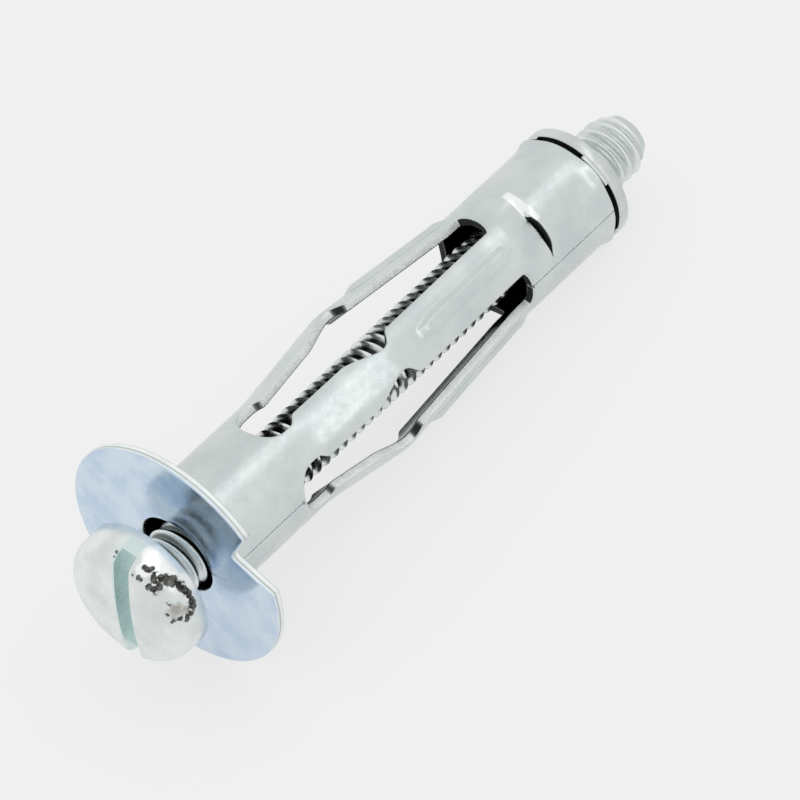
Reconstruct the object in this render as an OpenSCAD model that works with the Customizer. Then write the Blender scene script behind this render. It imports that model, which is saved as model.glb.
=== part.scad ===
// Hollow wall anchor: a slotted sheet steel sleeve, a threaded nut in its far end
// and a slotted pan head screw through both.
// The axis is X. The wall's face is the plane X = 0, the cavity lies towards +X and +Z is up.
// Angles about the axis run from +Y towards +Z.

/* [Sleeve] */
// Outside diameter of the tube
tube_d = 7.6; // [7.2:0.1:9]
// Thickness of the sheet
sheet_t = 0.6; // [0.4:0.05:0.7]
// Diameter of the flange
flange_d = 15.6; // [13:0.1:18]
// Radius of the bend between the tube and the back of the flange
root_r = 0.3; // [0.15:0.05:0.6]
// Diameter of the hole in the flange, which is narrower than the tube behind it
hole_d = 5.3; // [4.8:0.1:5.6]
// Radius of the hole's front edge
mouth_r = 0.3; // [0.05:0.05:0.35]
// Length of the plain collar between the wall's face and the slots
collar_len = 6.85; // [5:0.05:12]
// Length of the slots
slot_len = 20.95; // [19:0.05:30]
// Length of the plain collar behind the slots
rear_len = 7.7; // [6.5:0.05:10]
// Width of the open seam
seam_w = 0.08; // [0.03:0.01:0.15]

/* [Flange notch] */
// Distance from the axis to the bottom of the notch
notch_r = 5.45; // [4.8:0.05:6]
// Angle from the seam back to the bottom of the notch
notch_bottom = 24.5; // [20:0.5:30]
// Angle from the seam back to the far corner of the notch at the rim
notch_far = 33.5; // [31:0.5:40]
// Angle from the seam back to the near corner of the notch at the rim
notch_near = 4.5; // [1:0.5:10]
// Radius of the round at the bottom of the notch
notch_round = 0.3; // [0.1:0.05:0.5]

/* [Legs] */
// Width of a leg along the arc of the sheet
leg_w = 3.2; // [2.6:0.05:3.6]
// Width of a leg at its front fold
neck_w = 2.25; // [1.6:0.05:2.5]
// Width of a leg at its knee
knee_w = 1.65; // [1.2:0.05:2.2]
// How far the knee stands out of the tube
leg_rise = 0.92; // [0.3:0.02:1.4]
// Distance from the slot's front end to the front fold
fold_at = 2.55; // [2.4:0.05:3.5]
// Distance from the slot's front end to the knee
knee_at = 9.55; // [8:0.05:11]
// How far each leg's knee lies off that place, as bent
knee_off = [0.5, 0, -0.8, 0]; // [-0.8:0.1:0.8]
// Distance from the rear fold to the slot's rear end
fold_back = 1.2; // [1.1:0.05:2]
// Length of the round at the slot's front end
front_round = 1.4; // [0.8:0.1:1.5]
// Length of the round at the slot's rear end
rear_round = 0.4; // [0.3:0.05:0.65]

/* [Stiffening bead] */
// Width of the bead
bead_w = 1.25; // [0.8:0.05:1.6]
// Height of the bead
bead_h = 0.28; // [0.1:0.02:0.4]
// Distance from the knee to the bead
bead_from_knee = 2.2; // [1.9:0.1:4]

/* [Lances] */
// Distance from the slot's rear end to the slit
lance_at = 2.3; // [1.8:0.05:3]
// Angle that a slit spans
lance_angle = 76; // [50:2:80]
// How deep the sheet in front of the slit is pressed in
lance_depth = 0.4; // [0.1:0.05:0.45]
// Width of the slit
slit_w = 0.3; // [0.1:0.05:0.4]

/* [Nut] */
// Diameter of the nut's rim
nut_d = 7.85; // [7.5:0.05:9]
// Thickness of the nut's rim
nut_rim_t = 0.8; // [0.5:0.05:1.2]
// Height of the lugs between the rim and the tube's end
lug_h = 0.4; // [0.2:0.05:0.8]
// Angle that a lug spans
lug_angle = 34; // [20:2:50]
// Chamfer at the nut's front end
nut_chamfer = 0.25; // [0.1:0.05:0.4]

/* [Screw] */
// Outside diameter of the thread
screw_d = 4.17; // [3.5:0.01:4.6]
// Distance from one crest of the thread to the next
pitch = 0.794; // [0.7:0.001:1]
// Depth of the thread
thread_depth = 0.44; // [0.2:0.02:0.5]
// How far the screw stands out behind the nut
tip_reach = 4.65; // [2:0.05:12]
// Chamfer at the screw's tip
tip_chamfer = 0.6; // [0.2:0.05:0.8]
// Gap between the flange and the head, where the fixture goes
head_gap = 2.3; // [0.5:0.1:10]
// Diameter of the head
head_d = 8.8; // [7.6:0.1:9.8]
// Height of the head
head_h = 2.8; // [2:0.05:3]
// Radius of the head's top edge
head_edge_r = 1.5; // [0.4:0.05:1.6]
// Radius of the head's crown
crown_r = 22; // [16:1:40]
// Width of the driver slot
drive_w = 1.05; // [0.8:0.05:1.3]
// Depth of the driver slot at the head's centre
drive_depth = 1.2; // [0.8:0.05:1.5]
// Direction of the driver slot about the axis
drive_turn = 101; // [0:1:179]
// How far the driver slot is cut beside the axis
drive_off = 0.3; // [-0.4:0.05:0.4]

/* [Fits] */
// Radial clearance between the nut's thread and the screw
thread_gap = 0.05; // [0.02:0.01:0.08]
// Radial clearance between the nut and the tube
nut_gap = 0.05; // [0.02:0.01:0.1]

/* [Hidden] */
$fn = 96;
legs = 4;
// Each second leg, from this one on, has a lance behind it
first_lance = 1;
leg_pitch = 360 / legs;
first_leg = 45;
seam_turn = 180;
tube_r = tube_d / 2;
bore_r = tube_r - sheet_t;
mid_r = tube_r - sheet_t / 2;
hole_r = hole_d / 2;
flange_r = flange_d / 2;
slot_start = collar_len;
slot_end = slot_start + slot_len;
slit_x = slot_end + lance_at;
sleeve_end = slot_end + rear_len;
fold_x = slot_start + fold_at;
rear_fold_x = slot_end - fold_back;
// A fold's and a knee's bend reach this far to each side
fold_half = 0.5;
knee_half = 0.8;
// The knee's notches are cut over these lengths in front of it and behind it
notch_lead = 2.4;
notch_trail = 0.9;
// Lengths over which a bead rises and a lance is pressed in
bead_lead = 0.75;
lance_lead = 0.9;
// The legs' facets stay this far inside the round walls that they join, and reach this far into them
facet_inset = 0.02;
facet_lap = 0.05;
// Shapes that make one solid reach this far into each other, and cuts run this far past them
lap = 0.1;
lap_angle = 1;
cut = 0.5;
// Slope of the thread's sides
flank = 30;
nut_front = slit_x + slit_w + nut_gap;
nut_rim_x = sleeve_end + lug_h;
nut_end = nut_rim_x + nut_rim_t;
head_x = -sheet_t - head_gap;
head_r = head_d / 2;
screw_r = screw_d / 2;
screw_end = nut_end + tip_reach;
shank_len = screw_end - head_x;
// Columns of facets across a leg: over its bead, and on each side of it
bead_cols = 4;
side_cols = 3;
// The bead takes up at most this part of a leg
bead_share = 0.7;

// Turns a shape drawn about Z so that its axis is X, from x upwards
module along_x(x = 0) {
    translate([x, 0, 0]) rotate([90, 0, 90]) children();
}

module ring(r_out, r_in, x, len) {
    along_x(x) difference() {
        cylinder(r = r_out, h = len);
        translate([0, 0, -cut]) cylinder(r = r_in, h = len + 2 * cut);
    }
}

// A sector of a ring, centred on the angle turn
module ring_sector(r_out, r_in, x, len, turn, span) {
    along_x(x) rotate([0, 0, turn - span / 2])
        rotate_extrude(angle = span) translate([r_in, 0]) square([r_out - r_in, len]);
}

function smooth(z) = let (c = min(1, max(0, z))) c * c * (3 - 2 * c);
// A line that starts to rise at zero, rounded over half to each side
function bend(z, half) = z <= -half ? 0 : z >= half ? z : pow(z + half, 2) / (4 * half);
// Half the angle that a width along the sheet takes up
function half_angle(w) = w / 2 / mid_r * 180 / PI;
function wave(z) = abs(z) >= 1 ? 0 : (1 + cos(180 * z)) / 2;
// Part of the full slot width at a distance before the end of a rounded slot
function slot_round(z, len) = z >= len ? 1 : z <= 0 ? 0 : sqrt(1 - pow(1 - z / len, 2));

// Whether a leg has a lance behind it
function lanced(leg) = leg % 2 == first_lance % 2;

function knee_x(leg) = slot_start + knee_at + knee_off[leg];
function bead_x(leg) = knee_x(leg) + bead_from_knee;

// How far a leg stands out of the tube
function rise(x, leg) =
    let (k = knee_x(leg), front = leg_rise / (k - fold_x), rear = leg_rise / (rear_fold_x - k))
    front * bend(x - fold_x, fold_half) - (front + rear) * bend(x - k, knee_half)
    + rear * bend(x - rear_fold_x, fold_half);

// Notch at the knee, from 0 at its ends to 1 at the knee
function knee_notch(x, leg) =
    let (z = x - knee_x(leg)) z < 0 ? max(0, 1 + z / notch_lead) : max(0, 1 - z / notch_trail);

// Half the angle that a leg spans, which closes to the pitch at the slots' ends
function leg_half(x, leg) =
    let (
        full = leg_pitch / 2,
        neck = 1 - smooth((x - fold_x + fold_half) / (2 * fold_half)),
        front = x < fold_x - fold_half,
        width = leg_w - (leg_w - neck_w) * neck - (leg_w - knee_w) * knee_notch(x, leg),
        open = full - half_angle(width)
    )
    x >= slot_end ? full
    : full - open * (front ? slot_round(x - slot_start, front_round) : slot_round(slot_end - x, rear_round));

// Part of the bead's full height along the leg
function bead_along(x, leg) =
    smooth((x - bead_x(leg)) / bead_lead) * smooth((slot_end - x) / bead_lead);

// Radial step of the sheet's surface: the bead outwards and the lance inwards
function relief(x, a, leg) =
    bead_h * bead_along(x, leg) * wave(a / half_angle(bead_w))
    - lance_depth * smooth((x - slot_end) / lance_lead) * wave(2 * a / lance_angle);

// Angles of the columns across a leg of the half angle h, measured from its middle
function columns(h) =
    let (b = min(h * bead_share, half_angle(bead_w)))
    concat(
        [for (i = [0:side_cols - 1]) -h + (h - b) * i / side_cols],
        [for (i = [0:bead_cols]) -b + 2 * b * i / bead_cols],
        [for (i = [1:side_cols]) b + (h - b) * i / side_cols]
    );

// Places along the axis where a leg's section is drawn
function stations(leg) =
    let (k = knee_x(leg), b = bead_x(leg))
    concat(
        [slot_start - facet_lap],
        [for (t = [0:22.5:90]) slot_start + front_round * (1 - cos(t))],
        [for (t = [-1:0.5:1]) fold_x + fold_half * t],
        [(fold_x + fold_half + k - notch_lead) / 2],
        [for (t = [-1:0.25:-0.25]) k + notch_lead * t],
        [for (t = [0:0.25:1]) k + notch_trail * t],
        [for (t = [0:0.25:1]) b + bead_lead * t],
        [(b + bead_lead + rear_fold_x) / 2],
        [for (t = [-1:1:1]) rear_fold_x + fold_half * t],
        [for (t = [0:30:90]) slot_end - rear_round * (1 - sin(t))],
        lanced(leg) ? [for (t = [0.25:0.25:1]) slot_end + lance_lead * t] : [slot_end + facet_lap],
        lanced(leg) ? [(slot_end + lance_lead + slit_x) / 2, slit_x] : []
    );

// One leg as a bent sheet, with the pressed quarter of the wall behind it where it has a lance
module leg(leg) {
    turn = first_leg + leg_pitch * leg;
    xs = stations(leg);
    cols = 2 * side_cols + bead_cols;
    row = cols + 1;
    rows = len(xs);
    points = [
        for (x = xs, r = [tube_r - facet_inset, bore_r + facet_inset], a = columns(leg_half(x, leg)))
            let (out = rise(x, leg), q = r + relief(x, a, leg))
            [x, out * cos(turn) + q * cos(turn + a), out * sin(turn) + q * sin(turn + a)]
    ];
    function at(i, side, j) = (2 * i + side) * row + j;
    faces = concat(
        [for (i = [0:rows - 2], j = [0:cols - 1]) [at(i, 0, j), at(i + 1, 0, j + 1), at(i, 0, j + 1)]],
        [for (i = [0:rows - 2], j = [0:cols - 1]) [at(i, 0, j), at(i + 1, 0, j), at(i + 1, 0, j + 1)]],
        [for (i = [0:rows - 2], j = [0:cols - 1]) [at(i, 1, j), at(i, 1, j + 1), at(i + 1, 1, j + 1)]],
        [for (i = [0:rows - 2], j = [0:cols - 1]) [at(i, 1, j), at(i + 1, 1, j + 1), at(i + 1, 1, j)]],
        [for (i = [0:rows - 2]) [at(i, 0, 0), at(i + 1, 1, 0), at(i + 1, 0, 0)]],
        [for (i = [0:rows - 2]) [at(i, 0, 0), at(i, 1, 0), at(i + 1, 1, 0)]],
        [for (i = [0:rows - 2]) [at(i, 0, cols), at(i + 1, 0, cols), at(i + 1, 1, cols)]],
        [for (i = [0:rows - 2]) [at(i, 0, cols), at(i + 1, 1, cols), at(i, 1, cols)]],
        [for (j = [0:cols - 1]) [at(0, 0, j), at(0, 0, j + 1), at(0, 1, j + 1), at(0, 1, j)]],
        [for (j = [0:cols - 1])
            [at(rows - 1, 0, j), at(rows - 1, 1, j), at(rows - 1, 1, j + 1), at(rows - 1, 0, j + 1)]]
    );
    polyhedron(points, faces);
}

// Section of the flange and the collar behind it, radius across and the axis upwards
module flange_section() {
    difference() {
        union() {
            translate([hole_r, -sheet_t]) square([flange_r - hole_r, sheet_t]);
            translate([bore_r, -lap]) square([sheet_t, lap + slot_start]);
            translate([tube_r - lap, -lap]) square(root_r + lap);
        }
        translate([tube_r + root_r, root_r]) circle(root_r);
        difference() {
            translate([hole_r - cut, -sheet_t - cut]) square([cut + mouth_r, cut + mouth_r]);
            translate([hole_r + mouth_r, mouth_r - sheet_t]) circle(mouth_r);
        }
    }
}

function unit(v) = v / norm(v);
// Place at a radius, and at an angle back from the seam
function spot(r, back) = r * [cos(seam_turn - back), sin(seam_turn - back)];

// The notch where the flange is open beside the seam, with a round bottom
module flange_notch() {
    outside = flange_r + cut;
    bottom = spot(notch_r, notch_bottom);
    far = spot(outside, notch_far);
    near = spot(outside, notch_near);
    to_far = unit(far - bottom);
    to_near = unit(near - bottom);
    half = acos(to_far * to_near) / 2;
    reach = notch_round / tan(half);
    along_x(-sheet_t - cut) linear_extrude(sheet_t + 2 * cut) {
        translate(bottom + unit(to_far + to_near) * notch_round / sin(half)) circle(notch_round);
        polygon([
            bottom + reach * to_far,
            far,
            spot(outside + cut, (notch_far + notch_near) / 2),
            near,
            bottom + reach * to_near
        ]);
    }
}

// The wall behind the slots: round, with a quarter left out in front of each slit
module rear_collar() {
    difference() {
        ring(tube_r, bore_r, slot_end, sleeve_end - slot_end);
        for (i = [first_lance:2:legs - 1]) {
            turn = first_leg + leg_pitch * i;
            ring_sector(tube_r + cut, bore_r - cut, slot_end - cut, slit_x - slot_end - facet_lap + cut,
                        turn, leg_pitch - lap_angle);
            ring_sector(tube_r + cut, bore_r - cut, slit_x - cut, slit_w + cut, turn, lance_angle);
        }
    }
}

module sleeve() {
    color("silver") difference() {
        union() {
            along_x() rotate_extrude() flange_section();
            for (i = [0:legs - 1]) leg(i);
            rear_collar();
        }
        flange_notch();
        translate([-sheet_t - cut, -flange_r - cut, -seam_w / 2])
            cube([sleeve_end + sheet_t + 2 * cut, flange_r + cut, seam_w]);
    }
}

module nut() {
    body_r = bore_r - nut_gap;
    color("lightsteelblue") difference() {
        union() {
            along_x(nut_front) cylinder(r1 = body_r - nut_chamfer, r2 = body_r, h = nut_chamfer);
            along_x(nut_front + nut_chamfer)
                cylinder(r = body_r, h = nut_rim_x - nut_front - nut_chamfer);
            along_x(nut_rim_x) cylinder(r = nut_d / 2, h = nut_rim_t);
            for (i = [0:legs - 1]) {
                turn = first_leg + leg_pitch * i;
                ring_sector(nut_d / 2, body_r - lap, sleeve_end, lug_h, turn, lug_angle);
            }
        }
        along_x(nut_front - cut) cylinder(r = screw_r + thread_gap, h = nut_end - nut_front + 2 * cut);
    }
}

// Section of half the head: a crowned top with a round edge, over a flat underside
module head_section() {
    intersection() {
        union() {
            square([head_r, head_h - head_edge_r]);
            square([head_r - head_edge_r, head_h]);
            translate([head_r - head_edge_r, head_h - head_edge_r]) circle(head_edge_r);
        }
        square([head_r, head_h]);
        translate([0, head_h - crown_r]) circle(crown_r, $fn = 360);
    }
}

// Section of half the shank: a ring stands for each turn of the thread, and the tip is chamfered
module shank_section() {
    flat = (pitch - 2 * thread_depth * tan(flank)) / 4;
    half = pitch / 2;
    groove = [[0, flat], [thread_depth, half - flat], [thread_depth, half + flat], [0, pitch - flat]];
    intersection() {
        polygon(concat(
            [[0, 0], [screw_r, 0]],
            [for (i = [0:ceil(shank_len / pitch)], p = groove) [screw_r - p[0], i * pitch + p[1]]],
            [[0, shank_len + pitch]]
        ));
        polygon([
            [0, 0],
            [screw_r, 0],
            [screw_r, shank_len - tip_chamfer],
            [screw_r - tip_chamfer, shank_len],
            [0, shank_len]
        ]);
    }
}

module screw() {
    color("gainsboro") difference() {
        union() {
            translate([head_x, 0, 0]) rotate([0, -90, 0]) rotate_extrude() head_section();
            along_x(head_x) rotate_extrude() shank_section();
        }
        along_x(head_x - head_h - cut) rotate([0, 0, drive_turn])
            translate([-head_r - cut, drive_off - drive_w / 2, 0])
                cube([head_d + 2 * cut, drive_w, drive_depth + cut]);
    }
}

sleeve();
nut();
screw();
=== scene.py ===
"""Looks of the hollow wall anchor: a zinc plated sheet sleeve, its nut and its screw, in the CAD's frame."""

import math

import bpy
import numpy as np
from mathutils import Matrix, Vector


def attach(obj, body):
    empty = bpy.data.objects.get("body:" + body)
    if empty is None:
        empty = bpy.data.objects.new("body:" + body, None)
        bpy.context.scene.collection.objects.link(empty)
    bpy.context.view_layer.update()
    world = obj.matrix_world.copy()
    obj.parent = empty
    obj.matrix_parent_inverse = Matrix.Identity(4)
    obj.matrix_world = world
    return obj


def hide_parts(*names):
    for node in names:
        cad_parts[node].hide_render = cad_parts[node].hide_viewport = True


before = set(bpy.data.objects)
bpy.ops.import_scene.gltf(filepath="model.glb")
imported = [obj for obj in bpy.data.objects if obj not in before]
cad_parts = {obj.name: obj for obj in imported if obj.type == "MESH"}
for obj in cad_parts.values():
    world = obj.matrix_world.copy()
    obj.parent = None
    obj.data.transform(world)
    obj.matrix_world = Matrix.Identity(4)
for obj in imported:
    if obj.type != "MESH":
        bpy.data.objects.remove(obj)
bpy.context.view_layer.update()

# ---------------------------------------------------------------- sizes, in millimetres and degrees
# The axis is X, the wall's face is X = 0, and angles about the axis run from +Y towards +Z.
MM = 0.001
TUBE_R = 3.8
SHEET_T = 0.6
BORE_R = TUBE_R - SHEET_T
MID_R = TUBE_R - SHEET_T / 2
FLANGE_R = 7.8
ROOT_R = 0.3
HOLE_R = 2.65
MOUTH_R = 0.3
# Rounding of the step between the hole's wall and the tube's bore
STEP_EDGE = 0.03
SLOT_START = 6.85
SLOT_END = 27.8
SLEEVE_END = 35.6
LEG_CENTRES = [45, 135, 225, 315]
QUARTER = 45

# The seam is closed in the flange, and opens from this share of the way in from the flange's rim
SEAM_AFTER_LEG = 1
SEAM_GAP = 0.08
SEAM_OPENS = 0.7

# The notch in the flange, as three corners in radius and angle
NOTCH_FAR = 146.5
NOTCH_BOTTOM = (5.45, 155.5)
NOTCH_NEAR = 175.5
NOTCH_ROUND = 0.3

# Half widths of a leg along the sheet, and the places along it
LEG_HALF = 1.6
NECK_HALF = 1.15
KNEE_HALF = 0.83
FRONT_ROUND = 1.4
REAR_ROUND = 0.4
NECK_END = 8.9
NECK_SLOPE = 0.7
KNEE_X = 16.4
KNEE_SHIFT = [0.5, 0, -0.8, 0]
KNEE_LEAD = 2.4
KNEE_FLAT = 0.25
KNEE_TRAIL = 0.85
# Rounding of the knee notch's corners, and how far its sides are drawn as a smooth step
KNEE_CORNER = 0.15
KNEE_SOFT = 0.35
LEG_RISE = 0.92
FRONT_FOLD = 9.4
REAR_FOLD = 26.6
FOLD_HALF = 0.5
KNEE_BEND_HALF = 0.6

# The pressed bead, which starts with a narrower nose
BEAD_START = 2.2
BEAD_RISE = 1.0
BEAD_HALF = 0.62
BEAD_H = 0.28
BEAD_FLAT = 0.3
NOSE_SHARE = 0.6
NOSE_LEN = 1.8

# Behind each second leg the sheet is pressed in, and torn open over a part of the step's width
LANCED_LEGS = (1, 3)
LANCE_LEAD = 2.1
LANCE_DEPTH = 0.42
LANCE_FROM = -42
LANCE_TO = 37
LANCE_FLAT = 0.35
# Behind the slit the sheet is back at once, and beside its closed end after a short slope
LANCE_BACK = 0.5
LANCE_SNAP = 0.02
LANCE_EASE = 8
SLIT_X = 30.25
SLIT_W = 0.21
SLIT_FROM = -16
SLIT_TO = 37
SLIT_FLAT = 0.3
# The slit runs forward by this much towards its far end, from this angle on
SLIT_SLANT = 0.3
SLANT_FROM = 5
# The slit's lips are fully rounded where it is open by one part in this many
LIP_GAIN = 6
# Sets the two lips of the slit apart where they are compared
HAIR = 1e-6
# The painted highlight around the slit's closed end: its angle, and the radii where it starts to fade and is
# gone
HIGHLIGHT_TURN = 112.25
HIGHLIGHT_FROM = 1.2
HIGHLIGHT_TO = 1.45
FLARE_LEN = 0.8
FLARE_H = 0.22
FLARE_HALF_ANGLE = 26

# Rounding of the sheared edges: its radius, and the width of the strip of faces along them
EDGE_R = 0.08
STRIP = 0.13
EDGE_STEPS = 4
# How far the strip's rows of nodes lie from the cut
STRIP_ROWS = [STRIP] + [EDGE_R * (1 - math.sin(math.radians(90 * k / EDGE_STEPS)))
                        for k in range(EDGE_STEPS + 1)]

SCREW_R = 2.085
PITCH = 0.794
THREAD_DEPTH = 0.44
# One pitch of the thread: place along it and depth below the crest, as shares
THREAD_SHAPE = [(0.0, 0.02), (0.045, 0.0), (0.09, 0.02), (0.25, 0.5), (0.4, 0.93), (0.5, 1.0), (0.6, 1.0),
                (0.69, 0.93), (0.85, 0.5)]
# The tip's taper: its end, its depth and its length
TIP_X = 41.35
TIP_DEPTH = 0.62
TIP_LEN = 1.1
# How far behind the head's face the thread starts
THREAD_START = 0.05
HEAD_X = -2.9
HEAD_R = 4.4
HEAD_H = 2.8
HEAD_TOP = HEAD_X - HEAD_H
HEAD_EDGE_R = 1.5
CROWN_R = 22
# Outline under the head, from its rim to the shank: distance behind the head's face, and radius
UNDER_HEAD = [(-0.12, HEAD_R), (-0.04, HEAD_R - 0.03), (0, HEAD_R - 0.12), (0, SCREW_R + 0.3),
              (0.08, SCREW_R + 0.05), (0.3, SCREW_R - 0.3), (0.3, 0)]
DRIVE_W = 1.12
DRIVE_DEPTH = 1.2
DRIVE_TURN = 98
DRIVE_OFF = 0.36
# The head's edges that turn by more than an angle are bevelled
DRIVE_BEVEL = 0.07
DRIVE_BEVEL_FROM = 42
# The screw hangs down a little in the sleeve, about the middle of its nut
SAG = 0.14
SAG_TURN = 221

# Spots on the head's shoulder: angle about the axis, way over the shoulder from the crown, and radius.
# The dark ones, in a chain, are a painted reflection.
DARK_REFLECTION_SPOTS = [
    (121, 1.85, 0.17), (125, 1.90, 0.22), (127, 2.15, 0.18), (130, 2.10, 0.20), (132, 1.80, 0.24),
    (134, 1.30, 0.20), (139, 1.40, 0.26), (140, 1.70, 0.24), (135, 1.75, 0.20), (136, 2.10, 0.28),
    (140, 2.35, 0.35), (144, 2.60, 0.34), (148, 2.75, 0.32), (152, 2.80, 0.30), (156, 2.85, 0.30),
    (160, 2.90, 0.30), (165, 2.85, 0.30), (169, 2.75, 0.30), (172, 2.50, 0.27), (173, 2.20, 0.26),
    (172, 1.85, 0.22), (156, 1.55, 0.13), (164, 1.25, 0.11), (171, 1.35, 0.11), (118, 1.10, 0.10),
    (123, 1.15, 0.10), (127, 1.20, 0.11), (95, 1.30, 0.11), (95, 1.65, 0.09), (95, 2.05, 0.07)]
# Inside the chain the painted reflection is fainter, and beside it the head has a painted highlight
FAINT_REFLECTION_SPOTS = [(163, 1.75, 0.55), (168, 2.20, 0.45), (143, 1.55, 0.30)]
HIGHLIGHT_SPOTS = [(122, 2.80, 0.80), (122, 1.70, 0.45), (135, 3.00, 0.55)]

NUT_FRONT = 30.45
NUT_RIM_X = 35.9
NUT_END = 36.7
NUT_R = 3.925
NUT_BODY_R = 3.15
NUT_BORE_R = SCREW_R + 0.05
NUT_NOSE = 0.25
NUT_RIM_ROUND = 0.12
BORE_CHAMFER_FRONT = 0.2
BORE_CHAMFER_REAR = 0.35
LUG_HALF_ANGLE = 17
LUG_GAP = 0.06
# The lugs reach this far into the nut's body and its rim, and stay this far inside the rim's radius
LUG_LAP = 0.05
LUG_INSET = 0.02
LUG_BEVEL = 0.05
LUG_BEVEL_FROM = 50

# Numbers of columns and rows of nodes
QUARTER_COLUMNS = 37
BESIDE_NOTCH_COLUMNS = 23
NOTCH_FAR_COLUMNS = 14
NOTCH_NEAR_COLUMNS = 18
SLOT_ROWS = 134
SLOT_ROUND_ROWS = 11
ROOT_ROWS = 6
COLLAR_ROWS = 12
FLANGE_ROWS = 13
LANCE_ROWS = 16
REAR_ROWS = 24
CROWN_ROWS = 14
SHOULDER_ROWS = 22
THREAD_COLUMNS = 72
HEAD_COLUMNS = 128
NUT_COLUMNS = 120
LUG_COLUMNS = 13
# How late a leg's rows bend towards its edges, and how closely rows crowd behind the slit, as powers
ROW_BENDING = 1.5
REAR_CROWDING = 1.5
# Nodes that share a cell of this grid are one
NODES_PER_MM = 5000

# ---------------------------------------------------------------- colours
# Painted shade, inside the sleeve and on the nut's body between its lugs
INSIDE_SHADE = (0.035, 0.038, 0.036)
SHEET_GREY = (0.61, 0.66, 0.665)
SHEET_PALE = (0.70, 0.74, 0.735)
SHEET_FLECK = (0.63, 0.70, 0.70)
# Painted highlight on the step behind the slit's closed end
SHEET_HIGHLIGHT = (0.97, 0.985, 0.98)
FLANGE_BLUE = (0.55, 0.67, 0.83)
FLANGE_PALE = (0.68, 0.78, 0.89)
CUT_GREY = (0.90, 0.93, 0.93)
CUT_PALE = (0.98, 1.0, 1.0)
# Painted shade on cut faces that look forward
CUT_SHADE = (0.06, 0.065, 0.065)
CUT_LINE = (0.66, 0.70, 0.70)
NUT_GREY = (0.58, 0.62, 0.61)
NUT_PALE = (0.72, 0.75, 0.73)
SCREW_GREY = (0.72, 0.76, 0.76)
SCREW_PALE = (0.87, 0.90, 0.90)
# Painted shade in the thread's roots: inside the sleeve, between head and flange, and behind the nut
ROOT_SHADE_IN_SLEEVE = (0.03, 0.033, 0.033)
ROOT_SHADE_AT_HEAD = (0.16, 0.18, 0.18)
ROOT_SHADE_AT_TIP = (0.60, 0.64, 0.64)
DRIVE_WALL = (0.70, 0.82, 0.81)
# Painted highlight on the head's shoulder
HEAD_HIGHLIGHT = (0.98, 1.0, 0.99)
# Painted reflection on the head's shoulder, dark along its chain and fainter inside it
HEAD_FAINT_REFLECTION = (0.44, 0.42, 0.39)
REFLECTION_DARK = (0.03, 0.03, 0.028)
REFLECTION_PALE = (0.18, 0.18, 0.17)
PAPER = (0.86, 0.87, 0.86)
PAPER_GLOW = (0.885, 0.89, 0.88)
SURROUND_SEEN = (0.875, 0.885, 0.875)
SURROUND_CAST = (0.97, 0.985, 1.0)
SURROUND_STRENGTH = 0.96
# How much of the floor, as the camera sees it, is a plain glow
GLOW_SHARE = 0.8
FLOOR_HALF_M = 1.5
# Depth of the metal's grain, in millimetres
GRAIN_DEPTH = 0.01

# ---------------------------------------------------------------- the photographer's view
# How the axis runs in the picture, where the flange's front face lies and which angle faces the camera
LENS_MM = 315
SENSOR_MM = 36
CAMERA_TO_FLANGE = (-13.03, -9.06, -406.4)
AXIS_IN_VIEW = (0.6393, 0.5998, -0.4812)
NEAR_TURN = 131


# ---------------------------------------------------------------- small curves
def smooth(z):
    """A smooth step from 0 to 1."""
    z = np.clip(z, 0, 1)
    return z * z * (3 - 2 * z)


def bend(z, half):
    """A line that starts to rise at zero, rounded over half to each side."""
    return np.where(z <= -half, 0, np.where(z >= half, z, (z + half) ** 2 / (4 * half)))


def hill(z):
    """A cosine hill over -1 to 1."""
    return np.where(np.abs(z) >= 1, 0, (1 + np.cos(np.pi * np.clip(z, -1, 1))) / 2)


def ridge(z, flat):
    """A ridge over -1 to 1, whose top is flat over this share of it."""
    return smooth((1 - np.abs(z)) / (1 - flat))


# ---------------------------------------------------------------- the sleeve's form
def knee_x(leg):
    return KNEE_X + KNEE_SHIFT[leg]


def leg_rise(x, leg):
    """How far a leg stands out of the tube."""
    k = knee_x(leg)
    front = LEG_RISE / (k - FRONT_FOLD)
    rear = LEG_RISE / (REAR_FOLD - k)
    return (front * bend(x - FRONT_FOLD, FOLD_HALF) - (front + rear) * bend(x - k, KNEE_BEND_HALF)
            + rear * bend(x - REAR_FOLD, FOLD_HALF))


def leg_half(x, leg):
    """Half the leg's width along the sheet, away from the slots' ends."""
    neck = 1 - smooth((x - NECK_END) / NECK_SLOPE)
    z = x - knee_x(leg)
    lead = 1 - bend(-z - KNEE_FLAT, KNEE_CORNER) / KNEE_LEAD
    trail = 1 - bend(z - KNEE_FLAT, KNEE_CORNER) / KNEE_TRAIL
    depth = np.minimum(lead, trail)
    notch = smooth(depth) * KNEE_SOFT + np.clip(depth, 0, 1) * (1 - KNEE_SOFT)
    return LEG_HALF - (LEG_HALF - NECK_HALF) * neck - (LEG_HALF - KNEE_HALF) * notch


def relief(x, a, leg):
    """Radial step of the sheet: the bead and the flare outwards, the lance inwards. a is in degrees."""
    off_middle = np.radians(a) * MID_R
    start = knee_x(leg) + BEAD_START
    along = smooth((x - start) / BEAD_RISE) * smooth((SLOT_END - x) / BEAD_RISE)
    narrowing = 1 + NOSE_SHARE - NOSE_SHARE * smooth((x - start) / NOSE_LEN)
    bead = BEAD_H * along * ridge(off_middle / BEAD_HALF * narrowing, BEAD_FLAT)
    flare = FLARE_H * smooth((x - SLEEVE_END + FLARE_LEN) / FLARE_LEN) * hill(a / FLARE_HALF_ANGLE)
    return bead - lance(x, a, leg) + flare


def window(a, low, high, flat):
    """A ridge between two angles."""
    return ridge((2 * a - low - high) / (high - low), flat)


def slit_x(a):
    """Where the slit's front edge runs."""
    return SLIT_X - SLIT_SLANT * np.clip((a - SLANT_FROM) / (SLIT_TO - SLANT_FROM), 0, 1) ** 2


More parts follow.
